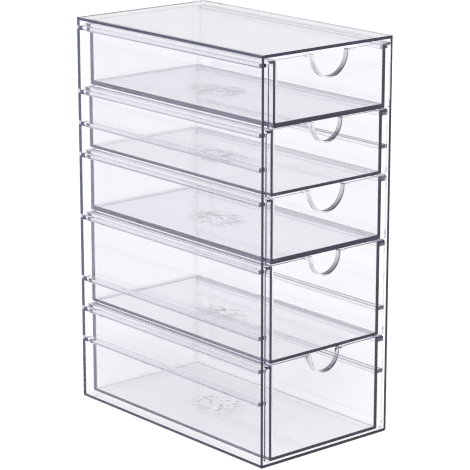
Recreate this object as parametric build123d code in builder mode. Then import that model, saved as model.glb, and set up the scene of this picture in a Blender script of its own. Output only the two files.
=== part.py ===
# Clear desktop drawer box: a case of bonded panels with runner strips, and five sliding trays.
# Millimetres. Origin at the middle of the underside, +Z up, the open front towards -Y.
import os

from build123d import *

# Case panels
case_width = 106.0  # outside, left to right
case_depth = 179.2  # outside, front edge to back face
top_thickness = 1.9
side_thickness = 1.9
back_thickness = 1.9
base_thickness = 2.0
top_edge_radius = 0.4  # polished outer edges of the top
base_edge_radius = 1.4  # long lower edges of the base

# Runner strips: the case is divided into equal rows, and a tray takes two or three of them
runner_pitch = 20.8  # height of one row
row_count = 12
shallow_rows = 2
deep_rows = 3
runner_width = 4.8  # from the side panel inwards
runner_height = 2.6
runner_edge_radius = 0.5  # long free edges of a runner

# Room around a tray
head_clearance = 1.5  # top panel to the rim of the highest tray
tray_gap = 1.3  # underside of a tray to the rim of the next one down
seat_clearance = 0.1  # rim to the runner that carries it
guide_clearance = 0.75  # tray wall to the free edge of a runner
rim_clearance = 1.8  # rim to the side panel
front_clearance = 1.8  # end of a front plate to the side panel
stop_clearance = 1.8  # front plate of a closed tray to the front ends of the runners
back_clearance = 0.5  # back of a closed tray to the back panel

# Trays
front_thickness = 1.6  # front plate, wider than the tray behind it
front_corner_radius = 1.2
wall_thickness = 2.2
back_corner_radius = 0.8  # upright outer corners at the back
inner_corner_radius = 1.0
floor_edge_radius = 0.8  # outer edge round the underside
inner_floor_radius = 0.5
rim_thickness = 2.0
rim_corner_radius = 0.8

# Two kinds of tray: a thick floor with a wide finger notch, and a thin floor with a narrow one
thick_floor = 2.6
wide_notch_width = 27.2
wide_notch_depth = 14.9
thin_floor = 1.5
narrow_notch_width = 22.4
narrow_notch_depth = 13.1

# Half-round finger notch in a front plate, with a collar behind it
notch_lip_radius = 0.8
collar_thickness = 1.2
collar_reach = 4.1  # front of the plate to the back of the collar
collar_end = 4.5  # collar beyond the notch, along the top of the plate

# Moulding mark under the middle of a tray's floor
gate_mark_diameter = 6.0
gate_mark_height = 0.3

# How far each tray stands open
top_opened = 2.2
second_opened = 0.3
third_opened = 0.5
deep_opened = 0.0

# Each kind: floor thickness, notch width and notch depth
thick_kind = (thick_floor, wide_notch_width, wide_notch_depth)
thin_kind = (thin_floor, narrow_notch_width, narrow_notch_depth)

# Each tray: its first row counted from the top, the rows it takes, how far it stands open, and its kind
trays = {
    "top_drawer": (0, shallow_rows, top_opened, thick_kind),
    "second_drawer": (2, shallow_rows, second_opened, thin_kind),
    "third_drawer": (4, shallow_rows, third_opened, thick_kind),
    "fourth_drawer": (6, deep_rows, deep_opened, thin_kind),
    "bottom_drawer": (9, deep_rows, deep_opened, thin_kind),
}

# Sizes that follow from the ones above
inside_height = row_count * runner_pitch + head_clearance
case_height = base_thickness + inside_height + top_thickness
case_front = -case_depth / 2
inside_back = case_depth / 2 - back_thickness
inside_width = case_width - 2 * side_thickness
highest_rim = base_thickness + inside_height - head_clearance
runner_setback = front_thickness + stop_clearance
runner_length = case_depth - runner_setback - back_thickness
runner_rows = [row for row in range(row_count) if row % shallow_rows == 0 or row % deep_rows == 0]
tray_width = inside_width - 2 * (runner_width + guide_clearance)
tray_depth = case_depth - back_thickness - back_clearance
rim_width = inside_width - 2 * rim_clearance
front_width = inside_width - 2 * front_clearance


def rim_level(row):
    return highest_rim - row * runner_pitch


def write_piece(piece, name):
    piece.label = name
    export_step(piece, f"parts/{name}.step")


os.makedirs("parts", exist_ok=True)

# Top panel, lying on the sides and the back
with BuildPart() as top_panel:
    with BuildSketch(Plane.XY.offset(case_height - top_thickness)):
        Rectangle(case_width, case_depth)
    extrude(amount=top_thickness)
    fillet(top_panel.faces().sort_by(Axis.Z)[-1].edges(), top_edge_radius)
write_piece(top_panel.part, "top_panel")

# Base panel, which the box stands on
with BuildPart() as base_panel:
    with BuildSketch(Plane.XY):
        Rectangle(case_width, case_depth)
    extrude(amount=base_thickness)
    fillet(base_panel.faces().sort_by(Axis.Z)[0].edges().filter_by(Axis.Y), base_edge_radius)
write_piece(base_panel.part, "base_panel")

# Back panel, between the two sides
with BuildPart() as back_panel:
    with BuildSketch(Plane.XY.offset(base_thickness)):
        with Locations((0, inside_back)):
            Rectangle(inside_width, back_thickness, align=(Align.CENTER, Align.MIN))
    extrude(amount=inside_height)
write_piece(back_panel.part, "back_panel")


def make_side_panel(direction):
    with BuildPart() as side_panel:
        with BuildSketch(Plane.XY.offset(base_thickness)):
            with Locations((direction * (case_width - side_thickness) / 2, 0)):
                Rectangle(side_thickness, case_depth)
        extrude(amount=inside_height)
    return side_panel.part


def make_runner(direction, row):
    runner_middle = direction * (inside_width - runner_width) / 2
    runner_top = rim_level(row) - rim_thickness - seat_clearance
    with BuildPart() as runner:
        with BuildSketch(Plane.XY.offset(runner_top - runner_height)):
            with Locations((runner_middle, case_front + runner_setback)):
                Rectangle(runner_width, runner_length, align=(Align.CENTER, Align.MIN))
        extrude(amount=runner_height)
        free_face = runner.faces().sort_by(Axis.X)[0 if direction > 0 else -1]
        fillet(free_face.edges().filter_by(Axis.Y), runner_edge_radius)
    return runner.part


for side_name, direction in {"left": -1, "right": 1}.items():
    write_piece(make_side_panel(direction), f"{side_name}_side_panel")
    for number, row in enumerate(runner_rows, start=1):
        write_piece(make_runner(direction, row), f"{side_name}_runner_{number}")


def make_tray(first_row, rows, opened, kind):
    floor_thickness, notch_width, notch_depth = kind
    rim_top = rim_level(first_row)
    tray_height = rows * runner_pitch - tray_gap
    underside = rim_top - tray_height
    tray_front = case_front - opened
    plate_back = tray_front + front_thickness
    body_depth = tray_depth - front_thickness
    front_edge = (Align.CENTER, Align.MIN)
    upper_edge = (Align.CENTER, Align.MAX)
    plate_plane = Plane((0, tray_front, rim_top), x_dir=(1, 0, 0), z_dir=(0, -1, 0))
    with BuildPart() as tray:
        # Body block with rounded upright corners at the back and a rounded underside
        with BuildSketch(Plane((0, plate_back, underside))):
            Rectangle(tray_width, body_depth, align=front_edge)
        extrude(amount=tray_height)
        fillet(tray.edges().filter_by(Axis.Z).group_by(Axis.Y)[-1], back_corner_radius)
        fillet(tray.faces().sort_by(Axis.Z)[0].edges().sort_by(Axis.Y)[1:], floor_edge_radius)

        # Rims along both sides, which ride on the runners
        with BuildSketch(Plane((0, plate_back, rim_top - rim_thickness))) as rim_outline:
            Rectangle(rim_width, body_depth, align=front_edge)
            fillet(rim_outline.vertices().group_by(Axis.Y)[-1], rim_corner_radius)
        extrude(amount=rim_thickness)

        # Front plate
        with BuildSketch(plate_plane):
            with Locations((0, -tray_height / 2)):
                RectangleRounded(front_width, tray_height, front_corner_radius)
        extrude(amount=-front_thickness)

        # Hollow inside
        with BuildSketch(Plane((0, plate_back, underside + floor_thickness))):
            RectangleRounded(
                tray_width - 2 * wall_thickness,
                body_depth - wall_thickness,
                inner_corner_radius,
                align=front_edge,
            )
        extrude(amount=tray_height - floor_thickness, mode=Mode.SUBTRACT)
        inner_floor = tray.faces().filter_by(Axis.Z).group_by(Axis.Z)[1].sort_by(SortBy.AREA)[-1]
        fillet(inner_floor.edges(), inner_floor_radius)

        # Collar round the notch, with short ends along the top of the plate
        with BuildSketch(plate_plane):
            with Locations((0, notch_width / 2 - notch_depth)):
                Circle(notch_width / 2 + collar_thickness)
            collar_width = notch_width + 2 * (notch_lip_radius + collar_end)
            Rectangle(collar_width, notch_depth + collar_thickness, align=upper_edge, mode=Mode.INTERSECT)
            Rectangle(collar_width, collar_thickness, align=upper_edge)
        extrude(amount=-collar_reach)

        # Finger notch through the plate and its collar
        with BuildSketch(plate_plane):
            with Locations((0, notch_width / 2 - notch_depth)):
                Circle(notch_width / 2)
                Rectangle(notch_width, notch_depth, align=front_edge)
        extrude(amount=-collar_reach, mode=Mode.SUBTRACT)
        top_edges = tray.edges().filter_by(Axis.Y).group_by(Axis.Z)[-1]
        fillet(top_edges.sort_by(lambda edge: abs(edge.center().X))[:2], notch_lip_radius)

        # Moulding mark under the floor
        with BuildSketch(Plane((0, tray_front + tray_depth / 2, underside))):
            Circle(gate_mark_diameter / 2)
        extrude(amount=-gate_mark_height)
    return tray.part


for tray_name, tray_sizes in trays.items():
    write_piece(make_tray(*tray_sizes), tray_name)
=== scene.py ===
import math
import bpy
import bmesh
from mathutils import Matrix, Vector


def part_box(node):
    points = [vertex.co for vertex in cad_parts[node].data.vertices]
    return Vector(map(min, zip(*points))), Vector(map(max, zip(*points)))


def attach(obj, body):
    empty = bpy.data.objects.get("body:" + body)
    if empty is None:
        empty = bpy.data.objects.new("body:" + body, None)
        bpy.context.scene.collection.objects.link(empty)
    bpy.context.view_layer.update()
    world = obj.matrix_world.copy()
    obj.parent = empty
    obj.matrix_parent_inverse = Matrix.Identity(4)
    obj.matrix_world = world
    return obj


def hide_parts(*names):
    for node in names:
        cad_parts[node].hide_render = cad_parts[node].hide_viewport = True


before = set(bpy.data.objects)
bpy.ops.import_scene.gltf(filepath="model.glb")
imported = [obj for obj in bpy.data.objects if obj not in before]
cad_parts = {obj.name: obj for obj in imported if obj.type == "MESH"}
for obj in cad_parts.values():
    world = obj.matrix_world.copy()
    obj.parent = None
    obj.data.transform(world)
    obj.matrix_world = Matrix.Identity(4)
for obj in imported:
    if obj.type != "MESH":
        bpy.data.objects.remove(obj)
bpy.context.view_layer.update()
print("frame loaded:", len(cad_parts), "nodes")

drawerNames = [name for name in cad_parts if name.endswith("_drawer")]
runnerNames = [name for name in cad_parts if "_runner_" in name]
panelNames = [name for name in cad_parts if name.endswith("_panel")]

acrossAxis, depthAxis, upAxis = (1, 0, 0), (0, 1, 0), (0, 0, 1)
touch = 1e-6  # places nearer than this are the same
placeDigits = 6  # the same, as decimals of a metre
parallel = 0.9999  # least cosine between an edge and the axis that it runs along


# small helpers shared by the pieces

finish = {"softBelow": 60.0, "flatWeight": 100}


def blockMesh(low, high):
    bm = bmesh.new()
    bmesh.ops.create_cube(bm, size=1.0)
    low, high = Vector(low), Vector(high)
    bmesh.ops.scale(bm, vec=high - low, verts=bm.verts)
    bmesh.ops.translate(bm, vec=(low + high) / 2, verts=bm.verts)
    return bm


def roundEdges(bm, edges, radius, steps):
    bmesh.ops.bevel(bm, geom=edges, offset=radius, offset_type="OFFSET", segments=steps,
                    profile=0.5, affect="EDGES", material=-1, clamp_overlap=False)


def edgesAlong(bm, axis, test=None):
    direction = Vector(axis)
    found = []
    for edge in bm.edges:
        start, end = (vert.co for vert in edge.verts)
        if abs((end - start).normalized().dot(direction)) > parallel:
            if test is None or test((start + end) / 2):
                found.append(edge)
    return found


def sharpEdges(bm, degrees):
    limit = math.radians(degrees)
    return [e for e in bm.edges if len(e.link_faces) == 2 and e.is_convex and e.calc_face_angle(0.0) > limit]


def vertsIn(made):
    return [item for item in made if isinstance(item, bmesh.types.BMVert)]


def meshObject(name, bm):
    mesh = bpy.data.meshes.new(name)
    bm.to_mesh(mesh)
    bm.free()
    obj = bpy.data.objects.new(name, mesh)
    bpy.context.scene.collection.objects.link(obj)
    return obj


def finishPiece(obj, material):
    limit = math.radians(finish["softBelow"])
    bm = bmesh.new()
    bm.from_mesh(obj.data)
    for face in bm.faces:
        face.smooth = True
    for edge in bm.edges:
        edge.smooth = len(edge.link_faces) == 2 and edge.calc_face_angle(0.0) < limit
    bm.to_mesh(obj.data)
    bm.free()
    even = obj.modifiers.new("even normals", "WEIGHTED_NORMAL")  # flats stay flat beside round edges
    even.keep_sharp = True
    even.weight = finish["flatWeight"]
    obj.data.materials.clear()
    obj.data.materials.append(material)


def setRange(node, side, values):
    node.inputs[side + " Min"].default_value, node.inputs[side + " Max"].default_value = values


# clear plastic

clearBoth = {"tint": (1.0, 1.0, 1.0, 1.0), "bodyColour": (0.40, 0.43, 0.57, 1.0),
             "hazeRange": (0.35, 0.75), "waveDetail": 1.0}
clearCase = {**clearBoth, "ior": 1.49, "bodyDensity": 34.0, "polish": (0.0, 0.04), "polishScale": 55.0,
             "waveScale": 14.0, "waveHeight": 0.00006}
clearDrawer = {**clearBoth, "ior": 1.53, "bodyDensity": 33.0, "polish": (0.0, 0.05), "polishScale": 70.0,
               "waveScale": 24.0, "waveHeight": 0.00012,
               # the notch wall is rougher and gets a dark painted shade in its colour, strongest where it
               # faces up
               "cutWall": 0.12, "paintedShadeTint": (0.04, 0.045, 0.075, 1.0),
               "flowPlace": (-0.003, 0.008, 0.0), "flowReach": (0.018, 0.026, 10.0), "flowScale": 85.0,
               "flowTwist": 3.0, "flowPatch": (0.54, 0.66), "flowHeight": 0.00024}


def clearPlastic(name, look):
    material = bpy.data.materials.new(name)
    material.use_nodes = True
    nodes, links = material.node_tree.nodes, material.node_tree.links
    shader = nodes["Principled BSDF"]
    shader.inputs["Base Color"].default_value = look["tint"]
    shader.inputs["Transmission Weight"].default_value = 1.0
    shader.inputs["IOR"].default_value = look["ior"]
    body = nodes.new("ShaderNodeVolumeAbsorption")  # long paths inside the plastic go dark and bluish
    body.inputs["Color"].default_value = look["bodyColour"]
    body.inputs["Density"].default_value = look["bodyDensity"]
    links.new(body.outputs["Volume"], nodes["Material Output"].inputs["Volume"])
    coords = nodes.new("ShaderNodeTexCoord")
    haze = nodes.new("ShaderNodeTexNoise")  # uneven polish
    haze.inputs["Scale"].default_value = look["polishScale"]
    polish = nodes.new("ShaderNodeMapRange")
    setRange(polish, "From", look["hazeRange"])
    setRange(polish, "To", look["polish"])
    wave = nodes.new("ShaderNodeTexNoise")  # the sheet isn't quite flat
    wave.inputs["Scale"].default_value = look["waveScale"]
    wave.inputs["Detail"].default_value = look["waveDetail"]
    relief = nodes.new("ShaderNodeBump")
    relief.inputs["Distance"].default_value = look["waveHeight"]
    for texture in (haze, wave):
        links.new(coords.outputs["Object"], texture.inputs["Vector"])
    links.new(haze.outputs["Fac"], polish.inputs["Value"])
    links.new(polish.outputs["Result"], shader.inputs["Roughness"])
    links.new(wave.outputs["Fac"], relief.inputs["Height"])
    links.new(relief.outputs["Normal"], shader.inputs["Normal"])
    if "cutWall" in look:
        addNotchRoughAndShade(nodes, links, look, polish, shader)
        addFlowMark(nodes, links, look, coords, relief)
    return material


def addNotchRoughAndShade(nodes, links, look, polish, shader):
    wall = nodes.new("ShaderNodeAttribute")  # the wall of a finger notch is less polished and has a dark painted shade mixed into its colour, darkest where it faces up
    wall.attribute_name = "notchWall"
    rough = nodes.new("ShaderNodeMath")
    rough.operation = "MULTIPLY_ADD"
    rough.inputs[1].default_value = look["cutWall"]
    links.new(wall.outputs["Fac"], rough.inputs[0])
    links.new(polish.outputs["Result"], rough.inputs[2])
    links.new(rough.outputs["Value"], shader.inputs["Roughness"])
    # painted shade: a dark colour mixed into the notch wall's colour
    paintedShade = nodes.new("ShaderNodeMix")
    paintedShade.data_type = "RGBA"
    paintedShade.inputs["A"].default_value = look["tint"]
    paintedShade.inputs["B"].default_value = look["paintedShadeTint"]
    links.new(wall.outputs["Fac"], paintedShade.inputs["Factor"])
    links.new(paintedShade.outputs["Result"], shader.inputs["Base Color"])


def addFlowMark(nodes, links, look, coords, relief):
    place = nodes.new("ShaderNodeMapping")  # flow marks near the middle of a floor
    place.vector_type = "TEXTURE"
    place.inputs["Location"].default_value = look["flowPlace"]
    place.inputs["Scale"].default_value = look["flowReach"]
    ball = nodes.new("ShaderNodeTexGradient")
    ball.gradient_type = "SPHERICAL"
    ripple = nodes.new("ShaderNodeTexNoise")
    ripple.inputs["Scale"].default_value = look["flowScale"]
    ripple.inputs["Distortion"].default_value = look["flowTwist"]
    patch = nodes.new("ShaderNodeMapRange")
    setRange(patch, "From", look["flowPatch"])
    mark = nodes.new("ShaderNodeMath")
    mark.operation = "MULTIPLY"
    flow = nodes.new("ShaderNodeBump")
    flow.inputs["Distance"].default_value = look["flowHeight"]
    links.new(coords.outputs["Object"], place.inputs["Vector"])
    links.new(coords.outputs["Object"], ripple.inputs["Vector"])
    links.new(place.outputs["Vector"], ball.inputs["Vector"])
    links.new(ball.outputs["Fac"], mark.inputs[0])
    links.new(ripple.outputs["Fac"], patch.inputs["Value"])
    links.new(patch.outputs["Result"], mark.inputs[1])
    links.new(mark.outputs["Value"], flow.inputs["Height"])
    links.new(flow.outputs["Normal"], relief.inputs["Normal"])


caseMaterial = clearPlastic("case_clear", clearCase)
drawerMaterial = clearPlastic("drawer_clear", clearDrawer)
print("clear plastic made")


# the case, one bonded body of panels and runner strips

case = {"edgeEase": 0.0002, "easeSteps": 2, "easeAbove": 50.0, "runnerEase": 0.0005, "runnerSteps": 3,
        "baseRound": 0.0014, "baseSteps": 8}


def caseBlock(insideLow, insideHigh, runnerFront):
    outerLow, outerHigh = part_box("base_panel")[0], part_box("top_panel")[1]
    bm = blockMesh(outerLow, outerHigh)
    mouth = min(bm.faces, key=lambda face: face.calc_center_median().y)
    bmesh.ops.inset_region(bm, faces=[mouth], thickness=insideLow.x - outerLow.x, use_even_offset=True)
    for vert in mouth.verts:
        vert.co.z = insideLow.z if vert.co.z < insideHigh.z / 2 else insideHigh.z
    made = bmesh.ops.extrude_discrete_faces(bm, faces=[mouth])["faces"]
    bmesh.ops.translate(bm, vec=(0, runnerFront - outerLow.y, 0), verts=made[0].verts)
    return bm


def sinkBay(bm, runners, runnerFront, insideBack):
    def stepFaces():
        return [f for f in bm.faces if abs(f.calc_center_median().y - runnerFront) < touch]

    def isRunner(face):
        middle = face.calc_center_median()
        return any(low.x < middle.x < high.x and low.z < middle.z < high.z for low, high in runners)

    def bayFaces():
        return [face for face in stepFaces() if not isRunner(face)]

    levels = sorted({round(corner.z, placeDigits) for box in runners for corner in box})
    leftTip = max(high.x for low, high in runners if high.x < 0)
    rightTip = min(low.x for low, high in runners if low.x > 0)
    cuts = [((0, 0, z), upAxis) for z in levels] + [((x, 0, 0), acrossAxis) for x in (leftTip, rightTip)]
    for point, normal in cuts:
        faces = stepFaces()
        geom = list(dict.fromkeys(part for f in faces for part in (f, *f.edges, *f.verts)))
        bmesh.ops.bisect_plane(bm, geom=geom, dist=touch, plane_co=point, plane_no=normal)
    bmesh.ops.dissolve_faces(bm, faces=bayFaces(), use_verts=False)
    bay = bayFaces()
    made = bmesh.ops.extrude_face_region(bm, geom=bay)["geom"]
    bmesh.ops.translate(bm, vec=(0, insideBack - runnerFront, 0), verts=vertsIn(made))
    bmesh.ops.delete(bm, geom=[face for face in bay if face.is_valid], context="FACES_ONLY")
    bmesh.ops.recalc_face_normals(bm, faces=bm.faces)


def roundCase(bm, insideLow, insideHigh):
    def inBay(middle):
        return (insideLow.x + touch < middle.x < insideHigh.x - touch
                and insideLow.z + touch < middle.z < insideHigh.z - touch)

    roundEdges(bm, edgesAlong(bm, depthAxis, inBay), case["runnerEase"], case["runnerSteps"])
    feet = edgesAlong(bm, depthAxis, lambda middle: middle.z < touch)
    roundEdges(bm, feet, case["baseRound"], case["baseSteps"])
    roundEdges(bm, sharpEdges(bm, case["easeAbove"]), case["edgeEase"], case["easeSteps"])


def makeCase():
    left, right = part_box("left_side_panel"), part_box("right_side_panel")
    insideLow = Vector((left[1].x, left[0].y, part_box("base_panel")[1].z))
    insideHigh = Vector((right[0].x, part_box("back_panel")[0].y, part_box("top_panel")[0].z))
    runners = [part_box(name) for name in runnerNames]
    runnerFront = runners[0][0].y
    bm = caseBlock(insideLow, insideHigh, runnerFront)  # hollow as far back as the runners' front ends
    sinkBay(bm, runners, runnerFront, insideHigh.y)  # and from there on round the runners
    roundCase(bm, insideLow, insideHigh)
    obj = meshObject("case", bm)
    finishPiece(obj, caseMaterial)
    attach(obj, "case")
    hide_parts(*panelNames, *runnerNames)
    return obj


# the drawers, each one moulded tray behind a wider front plate

tray = {"front": 0.0016, "frontRound": 0.0012, "plateOverhang": 0.00375, "wall": 0.0022,
        "rimThickness": 0.002, "rimRound": 0.0008, "backRound": 0.0008, "innerRound": 0.001,
        "floorRound": 0.0008, "innerFloorRound": 0.0005, "roundSteps": 6, "flatAngle": 1.0,
        "gateHeight": 0.0003, "gateRadius": 0.003, "gateSteps": 32}
notch = {"lipRound": 0.0008, "lipSteps": 8, "steps": 48,
         "collarThickness": 0.0012, "collarReach": 0.0041, "collarEnd": 0.0045,
         # the notch wall's painted shade starts at this share and grows where the wall faces up
         "edgeRound": 0.0003, "edgeSteps": 3, "paintedShadeLeast": 0.5, "wallLean": 0.01, "frontLean": 0.9}
thickKind = {"floor": 0.0026, "notchWidth": 0.0272, "notchDepth": 0.0149}
thinKind = {"floor": 0.0015, "notchWidth": 0.0224, "notchDepth": 0.0131}
thickDrawers = ("top_drawer", "third_drawer")
overlap = 0.0005  # how far joined shapes run into each other


def notchMiddle(kind, rimTop):
    return rimTop + kind["notchWidth"] / 2 - kind["notchDepth"]


def notchCutter(kind, rimTop, frontLow, frontHigh):
    bm = bmesh.new()
    radius, lip = kind["notchWidth"] / 2, notch["lipRound"]
    arcMiddle = notchMiddle(kind, rimTop)
    lipMiddle = rimTop - lip
    lipX = math.sqrt((radius + lip) ** 2 - (arcMiddle - lipMiddle) ** 2)
    lean = math.asin((arcMiddle - lipMiddle) / (radius + lip))  # where the lip runs into the half round
    end = bm.verts.new((lipX, frontLow, rimTop))
    first = end
    turns = [((lipX, frontLow, lipMiddle), lean - math.pi / 2, notch["lipSteps"]),
             ((0, frontLow, arcMiddle), math.pi - 2 * lean, notch["steps"]),
             ((-lipX, frontLow, lipMiddle), lean - math.pi / 2, notch["lipSteps"])]
    for middle, angle, steps in turns:
        made = bmesh.ops.spin(bm, geom=[end], cent=middle, axis=depthAxis, dvec=(0, 0, 0), angle=angle,
                              steps=steps, use_merge=False, use_duplicate=False)["geom_last"]
        end = vertsIn(made)[0]
    over = rimTop + (frontHigh - frontLow)  # well clear of the rim
    corners = [bm.verts.new((-lipX, frontLow, over)), bm.verts.new((lipX, frontLow, over))]
    for pair in ((end, corners[0]), corners, (corners[1], first)):
        bm.edges.new(pair)
    bmesh.ops.contextual_create(bm, geom=bm.edges[:])
    made = bmesh.ops.extrude_face_region(bm, geom=bm.faces[:])["geom"]
    bmesh.ops.translate(bm, vec=(0, frontHigh - frontLow, 0), verts=vertsIn(made))
    bmesh.ops.recalc_face_normals(bm, faces=bm.faces)
    return bm


def collarMesh(kind, rimTop, frontLow, frontHigh):
    bm = bmesh.new()
    radius = kind["notchWidth"] / 2 + notch["collarThickness"]
    bmesh.ops.create_cone(bm, cap_ends=True, segments=2 * notch["steps"], radius1=radius, radius2=radius,
                          depth=frontHigh - frontLow)
    bmesh.ops.rotate(bm, cent=(0, 0, 0), matrix=Matrix.Rotation(math.pi / 2, 3, "X"), verts=bm.verts)
    middle = Vector((0, (frontLow + frontHigh) / 2, notchMiddle(kind, rimTop)))
    bmesh.ops.translate(bm, vec=middle, verts=bm.verts)
    geom = bm.verts[:] + bm.edges[:] + bm.faces[:]
    cut = bmesh.ops.bisect_plane(bm, geom=geom, plane_co=(0, 0, rimTop), plane_no=upAxis, clear_outer=True)
    rim = [item for item in cut["geom_cut"] if isinstance(item, bmesh.types.BMEdge)]
    bmesh.ops.holes_fill(bm, edges=rim, sides=0)
    bmesh.ops.recalc_face_normals(bm, faces=bm.faces)
    return bm


def plateMesh(low, high):
    bm = blockMesh(low, high)
    roundEdges(bm, edgesAlong(bm, depthAxis), tray["frontRound"], tray["roundSteps"])
    return bm


def rimMesh(low, high, corner):
    bm = blockMesh(low, high)
    backEdges = edgesAlong(bm, upAxis, lambda middle: middle.y > low[1] + touch)
    roundEdges(bm, backEdges, corner, tray["roundSteps"])
    return bm


def undersideEdges(bm, bottom):
    return [e for e in bm.edges if max(v.co.z for v in e.verts) < bottom + touch]


def bodyMesh(low, high):
    bm = rimMesh(low, high, tray["backRound"])
    under = [e for e in undersideEdges(bm, low[2]) if max(v.co.y for v in e.verts) > low[1] + touch]
    roundEdges(bm, under, tray["floorRound"], tray["roundSteps"])
    return bm


def hollowMesh(low, high):
    bm = blockMesh(low, high)
    roundEdges(bm, edgesAlong(bm, upAxis), tray["innerRound"], tray["roundSteps"])
    roundEdges(bm, undersideEdges(bm, low[2]), tray["innerFloorRound"], tray["roundSteps"])
    return bm


def gateMesh(low, high, bottom):
    bm = bmesh.new()
    bmesh.ops.create_cone(bm, cap_ends=True, segments=tray["gateSteps"], radius1=tray["gateRadius"],
                          radius2=tray["gateRadius"], depth=bottom + overlap - low.z)
    bmesh.ops.translate(bm, vec=(0, (low.y + high.y) / 2, (low.z + bottom + overlap) / 2), verts=bm.verts)
    return bm


def applyCuts(obj, tools):
    for tool, operation in tools:
        cut = obj.modifiers.new(tool.name, "BOOLEAN")
        cut.operation = operation
        cut.solver = "MANIFOLD"
        cut.object = tool
    bpy.context.view_layer.update()
    done = bpy.data.meshes.new_from_object(obj.evaluated_get(bpy.context.evaluated_depsgraph_get()))
    obj.modifiers.clear()
    obj.data = done
    for tool, operation in tools:
        bpy.data.objects.remove(tool)


def trayObject(kind, low, high, collarBack):
    half = high.x - tray["plateOverhang"]
    bottom = low.z + tray["gateHeight"]
    plateBack = low.y + tray["front"]
    joined = plateBack - overlap
    body = meshObject("tray", bodyMesh((-half, joined, bottom), (half, high.y, high.z)))
    plate = meshObject("plate", plateMesh((low.x, low.y, bottom), (high.x, plateBack, high.z)))
    rims = meshObject("rims", rimMesh((low.x, joined, high.z - tray["rimThickness"]), high,
                                      tray["rimRound"]))
    hollow = meshObject("hollow", hollowMesh((-half + tray["wall"], plateBack, bottom + kind["floor"]),
                                             (half - tray["wall"], high.y - tray["wall"], high.z + overlap)))
    collar = meshObject("collar", collarMesh(kind, high.z, joined, collarBack))
    collarHalf = kind["notchWidth"] / 2 + notch["lipRound"] + notch["collarEnd"]
    ends = meshObject("ends", blockMesh((-collarHalf, joined, high.z - notch["collarThickness"]),
                                        (collarHalf, collarBack, high.z)))
    cutter = meshObject("notch", notchCutter(kind, high.z, low.y - overlap, collarBack + overlap))
    gate = meshObject("gate", gateMesh(low, high, bottom))
    applyCuts(body, [(plate, "UNION"), (rims, "UNION"), (hollow, "DIFFERENCE"), (collar, "UNION"),
                     (ends, "UNION"), (cutter, "DIFFERENCE"), (gate, "UNION")])
    return body


def isNotchWall(face, kind, rimTop, collarBack):
    middle = face.calc_center_median()
    toAxis = Vector((-middle.x, 0, notchMiddle(kind, rimTop) - middle.z))
    near = toAxis.length < kind["notchWidth"] / 2 + notch["lipRound"] and middle.y < collarBack
    return near and abs(face.normal.y) < notch["wallLean"] and face.normal.dot(toAxis) > 0


def meetsFront(edge):
    return any(abs(face.normal.y) > notch["frontLean"] for face in edge.link_faces)


def finishNotch(bm, kind, rimTop, collarBack):
    # this face layer carries the notch wall's roughness and its painted shade
    wall = bm.faces.layers.float.new("notchWall")
    walls = [face for face in bm.faces if isNotchWall(face, kind, rimTop, collarBack)]
    for face in walls:
        # painted shade and roughness weight: the least share, rising as the face turns up
        face[wall] = notch["paintedShadeLeast"] + (1.0 - notch["paintedShadeLeast"]) * max(face.normal.z, 0.0)
    rings = dict.fromkeys(edge for face in walls for edge in face.edges if meetsFront(edge))
    roundEdges(bm, list(rings), notch["edgeRound"], notch["edgeSteps"])


def makeDrawer(name):
    kind = thickKind if name in thickDrawers else thinKind
    low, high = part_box(name)
    collarBack = low.y + notch["collarReach"]
    body = trayObject(kind, low, high, collarBack)
    bm = bmesh.new()
    bm.from_mesh(body.data)
    bmesh.ops.remove_doubles(bm, verts=bm.verts, dist=touch)
    bmesh.ops.dissolve_limit(bm, angle_limit=math.radians(tray["flatAngle"]), verts=bm.verts, edges=bm.edges)
    bmesh.ops.recalc_face_normals(bm, faces=bm.faces)
    finishNotch(bm, kind, high.z, collarBack)
    bm.to_mesh(body.data)
    bm.free()
    body.name = name + "_tray"
    body.data.name = body.name
    finishPiece(body, drawerMaterial)
    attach(body, name)
    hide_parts(name)
    return body


for piece in [makeCase()] + [makeDrawer(name) for name in drawerNames]:
    print(piece.name, "made:", len(piece.data.polygons), "faces")


# floor, light and camera

ground = {"size": 12.0, "drop": 0.0005, "base": (0.0, 0.0, 0.0, 1.0),
          "colour": (0.995, 0.975, 0.995, 1.0), "glow": 1.13, "shadeGlow": 1.0,
          "shadePlace": (0.0585, 0.0684, 0.0), "shadeReach": (0.115, 0.2, 1.0),
          "shadeTurn": -40.6, "shadeCore": 0.6}
sky = {"colour": (0.975, 0.975, 1.0, 1.0), "glow": (0.84, 0.08), "rise": (0.42, 0.68)}
rays = {"bounces": 96, "pixelWidth": 1.2}
camera = {"place": (-0.8950, -1.0495, 0.4904), "azimuth": -40.558, "elevation": 15.028, "lens": 171.25,
          "sensor": 36.0}


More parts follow.
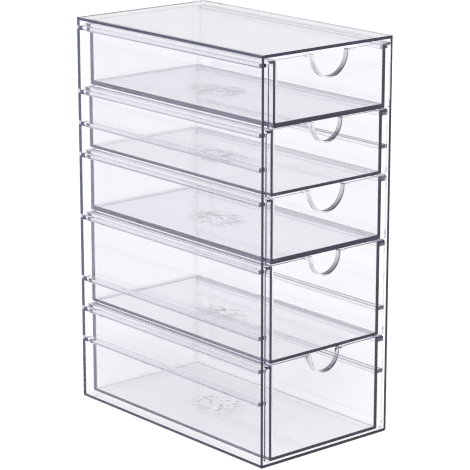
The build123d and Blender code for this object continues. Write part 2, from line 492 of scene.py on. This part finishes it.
def floorMaterial():
    material = bpy.data.materials.new("pale_floor")
    material.use_nodes = True
    nodes, links = material.node_tree.nodes, material.node_tree.links
    shader = nodes["Principled BSDF"]
    shader.inputs["Base Color"].default_value = ground["base"]
    shader.inputs["Specular IOR Level"].default_value = 0.0
    shader.inputs["Roughness"].default_value = 1.0
    shader.inputs["Emission Color"].default_value = ground["colour"]
    coords = nodes.new("ShaderNodeTexCoord")
    place = nodes.new("ShaderNodeMapping")  # soft shade behind the box
    place.vector_type = "TEXTURE"
    place.inputs["Location"].default_value = ground["shadePlace"]
    place.inputs["Rotation"].default_value = (0, 0, math.radians(ground["shadeTurn"]))
    place.inputs["Scale"].default_value = ground["shadeReach"]
    ball = nodes.new("ShaderNodeTexGradient")
    ball.gradient_type = "SPHERICAL"
    shade = nodes.new("ShaderNodeMapRange")
    shade.interpolation_type = "SMOOTHSTEP"
    shade.inputs["From Max"].default_value = ground["shadeCore"]
    setRange(shade, "To", (ground["glow"], ground["shadeGlow"]))
    links.new(coords.outputs["Object"], place.inputs["Vector"])
    links.new(place.outputs["Vector"], ball.inputs["Vector"])
    links.new(ball.outputs["Fac"], shade.inputs["Value"])
    links.new(shade.outputs["Result"], shader.inputs["Emission Strength"])
    return material


def makeFloor():
    bm = bmesh.new()
    bmesh.ops.create_grid(bm, x_segments=1, y_segments=1, size=ground["size"] / 2)
    bmesh.ops.translate(bm, vec=(0, 0, -ground["drop"]), verts=bm.verts)
    floor = meshObject("floor", bm)
    floor.data.materials.append(floorMaterial())


def makeSky():
    world = bpy.data.worlds.new("studio")
    bpy.context.scene.world = world
    world.use_nodes = True
    nodes, links = world.node_tree.nodes, world.node_tree.links
    coords = nodes.new("ShaderNodeTexCoord")
    split = nodes.new("ShaderNodeSeparateXYZ")
    rise = nodes.new("ShaderNodeMapRange")  # pale round the horizon, dark above
    rise.interpolation_type = "SMOOTHSTEP"
    setRange(rise, "From", sky["rise"])
    setRange(rise, "To", sky["glow"])
    links.new(coords.outputs["Generated"], split.inputs["Vector"])
    links.new(split.outputs["Z"], rise.inputs["Value"])
    links.new(rise.outputs["Result"], nodes["Background"].inputs["Strength"])
    nodes["Background"].inputs["Color"].default_value = sky["colour"]


def setRays():
    scene = bpy.context.scene
    scene.view_settings.view_transform = "Standard"
    scene.view_settings.look = "None"
    scene.cycles.max_bounces = rays["bounces"]
    scene.cycles.transmission_bounces = rays["bounces"]
    scene.cycles.glossy_bounces = rays["bounces"]
    scene.cycles.transparent_max_bounces = rays["bounces"]
    scene.cycles.blur_glossy = 0.0
    scene.cycles.filter_width = rays["pixelWidth"]


def makeCamera():
    data = bpy.data.cameras.new("camera")
    data.lens = camera["lens"]
    data.sensor_width = camera["sensor"]
    obj = bpy.data.objects.new("camera", data)
    bpy.context.scene.collection.objects.link(obj)
    turn, tilt = math.radians(camera["azimuth"]), math.radians(camera["elevation"])
    back = Vector((math.sin(turn) * math.cos(tilt), -math.cos(turn) * math.cos(tilt), math.sin(tilt)))
    obj.location = camera["place"]
    obj.rotation_mode = "QUATERNION"
    obj.rotation_quaternion = (-back).to_track_quat("-Z", "Y")
    bpy.context.scene.camera = obj


makeFloor()
makeSky()
setRays()
makeCamera()
print("stage and camera made")
